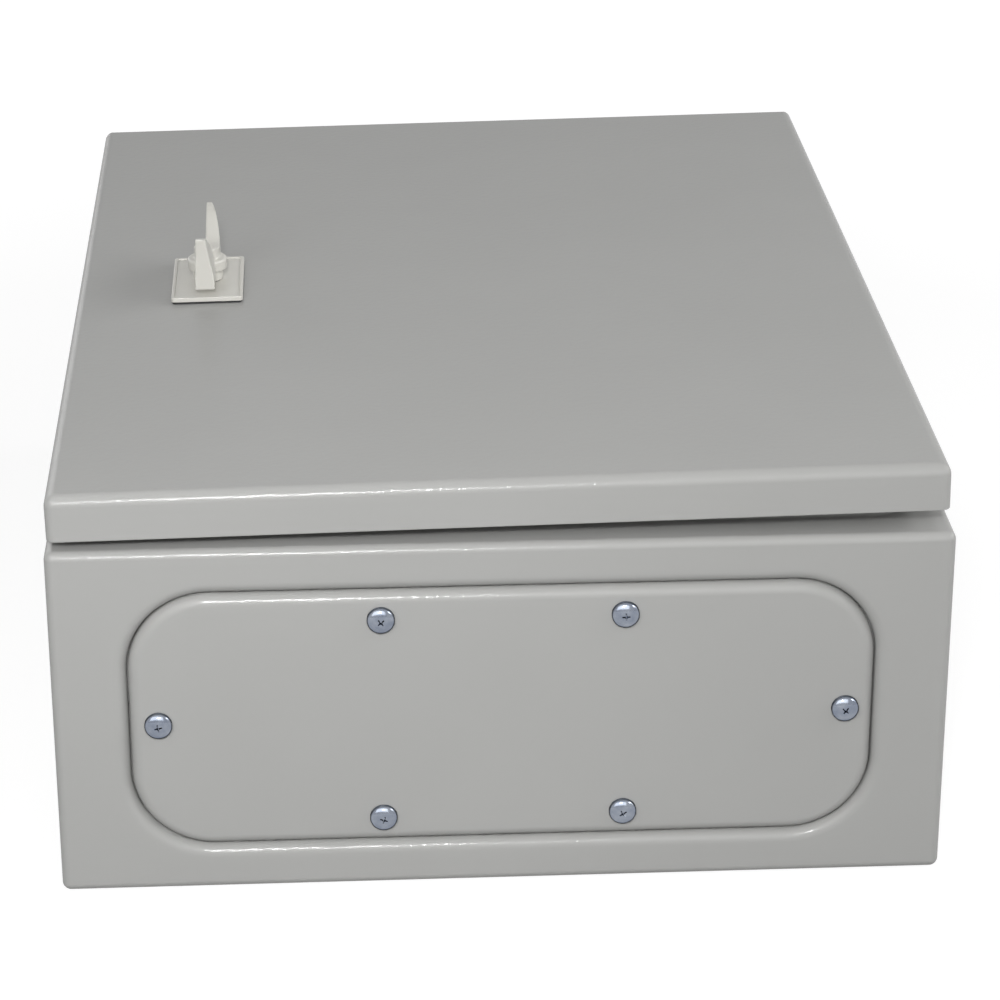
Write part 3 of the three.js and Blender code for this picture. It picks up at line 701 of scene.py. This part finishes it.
def cross_wings():
    rings = [
        [(-length, -half, z), (length, -half, z), (length, half, z), (-length, half, z)]
        for (length, half), z in ((WING_AT_FLOOR, WING_FLOOR), (WING_AT_TOP, CROSS_TOP))
    ]
    return loft("wings", rings)


def cross_recess():
    """Tapered cross that a driver fits: four wings round a deeper core."""
    along, across = cross_wings(), cross_wings()
    across.data.transform(Matrix.Rotation(HALF_PI, 4, "Z"))
    low = circle(CORE_AT_FLOOR, CORE_FLOOR, CORE_SIDES)
    high = circle(CORE_AT_TOP, CROSS_TOP, CORE_SIDES)
    return along, across, loft("core", [low, high])


def screw_mesh():
    """Pan-head screw, made once. Its head rests on z = 0."""
    profile = [(SHANK_RADIUS, 0), *head_profile()]
    screw = loft("screw", [circle(radius, z, ROUND_SIDES) for radius, z in profile])
    combine(screw, "DIFFERENCE", *cross_recess())
    shank = threaded(
        "shank",
        SHANK_RADIUS - THREAD_FIT,
        -SCREW_LENGTH,
        SHANK_LAP,
        THREAD_PITCH,
        THREAD_DEPTH,
        SMALL_SIDES,
    )
    combine(screw, "UNION", shank)
    mesh = screw.data
    bpy.data.objects.remove(screw)
    return mesh


def add_gland_screws():
    mesh = screw_mesh()
    for node, turn in zip(gland_screws, SCREW_TURNS):
        x, y = gland_place(node)
        screw = linked(f"{node}_fine", mesh.copy())
        seat = Matrix.Translation(Vector((x, y, SEAT - HEAD_SINK)) * MM)
        place = gland_frame @ seat @ Matrix.Rotation(turn, 4, "Z")
        finish_piece(screw, place, "enclosure", "bright_zinc", node)


add_gland_screws()

# ---------------------------------------------------------------- door

DOOR_WIDTH = WIDTH - DOOR_SET_BACK_LOCK - DOOR_SET_BACK_HINGE
DOOR_HEIGHT = HEIGHT - 2 * DOOR_SET_BACK_ENDS
DOOR_MIDDLE = (DOOR_SET_BACK_LOCK - DOOR_SET_BACK_HINGE) / 2
LOCK_HOLE = 11.1  # radius
NOTCH_HALF = 15  # half the length over the hinge's ears, with the fit at their ends


def lock_hole():
    centre = (door_frame.inverted() @ lock_point) / MM
    return rod("hole", LOCK_HOLE, DOOR_TOP - SHEET - LAP, DOOR_TOP + LAP, centre.x, centre.y)


def hinge_notch(leaf):
    """Cutter for the notch in the door's flange where a hinge's ears stand."""
    low, high = box_mm(leaf)
    middle = (low.y + high.y) / 2
    side = WIDTH / 2 - DOOR_SET_BACK_HINGE
    return block(
        "notch",
        (side - 2 * SHEET, middle - NOTCH_HALF, DOOR_TOP - DOOR_FLANGE - LAP),
        (side + 2 * SHEET, middle + NOTCH_HALF, DOOR_TOP - DOOR_BEND - SHEET),
    )


def door_panel():
    path = [
        (CAP_INSET, DOOR_TOP),
        (0, DOOR_TOP, DOOR_BEND),
        (0, DOOR_TOP - DOOR_FLANGE),
    ]
    panel = sweep_round(
        "door_panel_fine",
        folded_section(path, SHEET, -1),
        DOOR_WIDTH / 2,
        DOOR_HEIGHT / 2,
        lambda inset: max(DOOR_CORNER - inset, LEAST_CORNER),
        CORNER_STEPS,
    )
    panel.data.transform(Matrix.Translation((DOOR_MIDDLE, 0, 0)))
    notches = [hinge_notch(leaf) for leaf in ("body_leaf_lower", "body_leaf_upper")]
    combine(panel, "DIFFERENCE", lock_hole(), *notches)
    finish_piece(panel, door_frame, "door", "grey_paint", "door_panel")


door_panel()

# ---------------------------------------------------------------- escutcheon and handle

ESC_HALF_X, ESC_HALF_Y = 13.25, 22.5
ESC_CORNER = 1.2
ESC_LEAST_CORNER = 0.3
ESC_CORNER_STEPS = 6
ESC_BOTTOM = 1.0
ESC_FLOOR = 2.2
ESC_RIM = 0.5
ESC_RIM_WIDTH = 1.3
ESC_CAP_INSET = 10
ESC_EDGE = 0.3  # rounding of the rim's edges
ESC_FILLET = ESC_EDGE / 3  # rounding of the other corners
ESC_EDGE_STEPS = 4

BARREL_RADIUS = 10.8
BARREL_SET_BACK = 0.2
BARREL_LAP = 0.4  # into the escutcheon
BARREL_PITCH = 1.5
BARREL_DEPTH = 0.5
BARREL_SIDES = 64
BORE_RADIUS = 5.1

VOXEL = 0.28
SOFTEN, SOFTEN_TIMES = 0.5, 5


def escutcheon_section():
    top = ESC_FLOOR + ESC_RIM
    corners = [
        (ESC_CAP_INSET, ESC_BOTTOM),
        (0, ESC_BOTTOM),
        (0, top),
        (ESC_RIM_WIDTH, top),
        (ESC_RIM_WIDTH, ESC_FLOOR),
        (ESC_CAP_INSET, ESC_FLOOR),
    ]
    points = [complex(*corner) for corner in corners]
    section = [points[0]]
    for before, corner, after in zip(points, points[1:], points[2:]):
        radius = ESC_EDGE if corner.imag > ESC_FLOOR else ESC_FILLET
        section += round_corner(before, corner, after, radius, ESC_EDGE_STEPS)
    section.append(points[-1])
    return section


def lock_housing():
    """Escutcheon with a raised rim, moulded in one with the threaded barrel behind it."""
    plate = sweep_round(
        "lock_housing_fine",
        escutcheon_section(),
        ESC_HALF_X,
        ESC_HALF_Y,
        lambda inset: max(ESC_CORNER - inset, ESC_LEAST_CORNER),
        ESC_CORNER_STEPS,
    )
    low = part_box("lock_housing")[0]
    deepest = lock_frame.inverted() @ Vector((lock_point.x, lock_point.y, low.z))
    barrel_end = deepest.z / MM + BARREL_SET_BACK
    barrel = threaded(
        "barrel",
        BARREL_RADIUS,
        barrel_end,
        ESC_BOTTOM + BARREL_LAP,
        BARREL_PITCH,
        BARREL_DEPTH,
        BARREL_SIDES,
    )
    combine(plate, "UNION", barrel)
    combine(plate, "DIFFERENCE", rod("bore", BORE_RADIUS, barrel_end - LAP, ESC_FLOOR + LAP))
    finish_piece(plate, lock_frame, "door", "pale_plastic", "lock_housing")


def wing_handle():
    """The handle's solid with its edges rounded, as a moulding has them."""
    piece = linked("wing_handle_fine", frame["nodes"]["wing_handle"].data.copy())
    piece.data.transform(Matrix.Scale(1 / MM, 4) @ lock_frame.inverted())
    merge_vertices(piece.data, MERGE_CAD)
    remesh = piece.modifiers.new("remesh", "REMESH")
    remesh.mode = "VOXEL"
    remesh.voxel_size = VOXEL
    soft = piece.modifiers.new("soft", "SMOOTH")
    soft.factor = SOFTEN
    soft.iterations = SOFTEN_TIMES
    bake_modifiers(piece)
    finish_piece(piece, lock_frame, "handle", "pale_plastic", "wing_handle")


lock_housing()
wing_handle()

# ---------------------------------------------------------------- light and floor

AMBIENT = 0.16
PAPER = 0.3
GLOW_NEAR, GLOW_FAR = 0.8, 1.0  # the paper's glow by the object, where the shadow lies, and far off
NEAR, FAR = 0.45, 1.2  # m from the origin
FLOOR_HALF = 12  # m
WIDE_OPEN = 180  # degrees


def seen_directly(nodes, link):
    """1 for what is seen, also in a reflection or through glass, and 0 for bounced light."""
    path = nodes.new("ShaderNodeLightPath")
    seen = path.outputs["Is Camera Ray"]
    for ray in ("Is Glossy Ray", "Is Transmission Ray"):
        either = nodes.new("ShaderNodeMath")
        either.operation = "MAXIMUM"
        link(seen, either.inputs[0])
        link(path.outputs[ray], either.inputs[1])
        seen = either.outputs[0]
    return seen


def add_world():
    """White where it is seen, and a dim grey light on the object."""
    world = bpy.data.worlds.new("studio")
    bpy.context.scene.world = world
    world.use_nodes = True
    nodes, link = world.node_tree.nodes, world.node_tree.links.new
    background = nodes["Background"]
    background.inputs["Color"].default_value = (1, 1, 1, 1)
    strength = map_range(nodes, link, seen_directly(nodes, link), AMBIENT, 1.0)
    link(strength, background.inputs["Strength"])


def paper():
    material = bpy.data.materials.new("paper")
    material.use_nodes = True
    nodes, link = material.node_tree.nodes, material.node_tree.links.new
    surface = nodes["Principled BSDF"]
    surface.inputs["Base Color"].default_value = (PAPER, PAPER, PAPER, 1)
    surface.inputs["Roughness"].default_value = 1.0
    surface.inputs["Specular IOR Level"].default_value = 0.0
    surface.inputs["Emission Color"].default_value = (1, 1, 1, 1)
    distance = nodes.new("ShaderNodeVectorMath")
    distance.operation = "LENGTH"
    link(nodes.new("ShaderNodeTexCoord").outputs["Object"], distance.inputs[0])
    strength = map_range(
        nodes, link, distance.outputs["Value"], GLOW_NEAR, GLOW_FAR, start=NEAR, stop=FAR
    )
    glow = nodes.new("ShaderNodeMath")
    glow.operation = "MULTIPLY"
    link(seen_directly(nodes, link), glow.inputs[0])
    link(strength, glow.inputs[1])
    link(glow.outputs[0], surface.inputs["Emission Strength"])
    return material


def add_floor():
    """White paper that keeps the object's soft shadow and is white where nothing shades it."""
    half = FLOOR_HALF
    corners = [(-half, -half, 0), (half, -half, 0), (half, half, 0), (-half, half, 0)]
    mesh = bpy.data.meshes.new("floor")
    mesh.from_pydata(corners, [], [(0, 1, 2, 3)])
    mesh.materials.append(paper())
    linked("floor", mesh)


def add_area(name, place, target, size, power, spread=WIDE_OPEN):
    """Rectangular lamp that shines from its place to a target. Metres, watts, degrees."""
    data = bpy.data.lights.new(name, "AREA")
    data.shape = "RECTANGLE"
    data.size, data.size_y = size
    data.energy = power
    data.spread = math.radians(spread)
    lamp = linked(name, data)
    lamp.location = place
    lamp.rotation_mode = "QUATERNION"
    lamp.rotation_quaternion = (Vector(place) - Vector(target)).to_track_quat("Z", "Y")


def add_lamps():
    add_area(
        "flash",
        place=(-0.11, -1.2, 0.76),
        target=(-0.10, -0.2, 0.15),
        size=(0.12, 0.12),
        power=1.1,
        spread=70,
    )
    add_area(
        "softbox",
        place=(-0.38, -1.52, 0.97),
        target=(0, -0.1, 0.1),
        size=(2.3, 1.15),
        power=16,
    )
    add_area(
        "window",
        place=(0.95, -0.45, 0.72),
        target=(-0.05, -0.05, 0.12),
        size=(0.45, 0.3),
        power=2.2,
    )
    add_area(
        "side",
        place=(1.5, 0.15, 0.85),
        target=(-0.1, 0, 0.15),
        size=(1.1, 0.7),
        power=9.5,
    )
    add_area(
        "rear",
        place=(-1.25, 1.45, 0.5),
        target=(0, 0.1, 0.06),
        size=(1.5, 0.9),
        power=7,
    )


add_world()
add_floor()
add_lamps()

bpy.context.scene.view_settings.view_transform = "Standard"
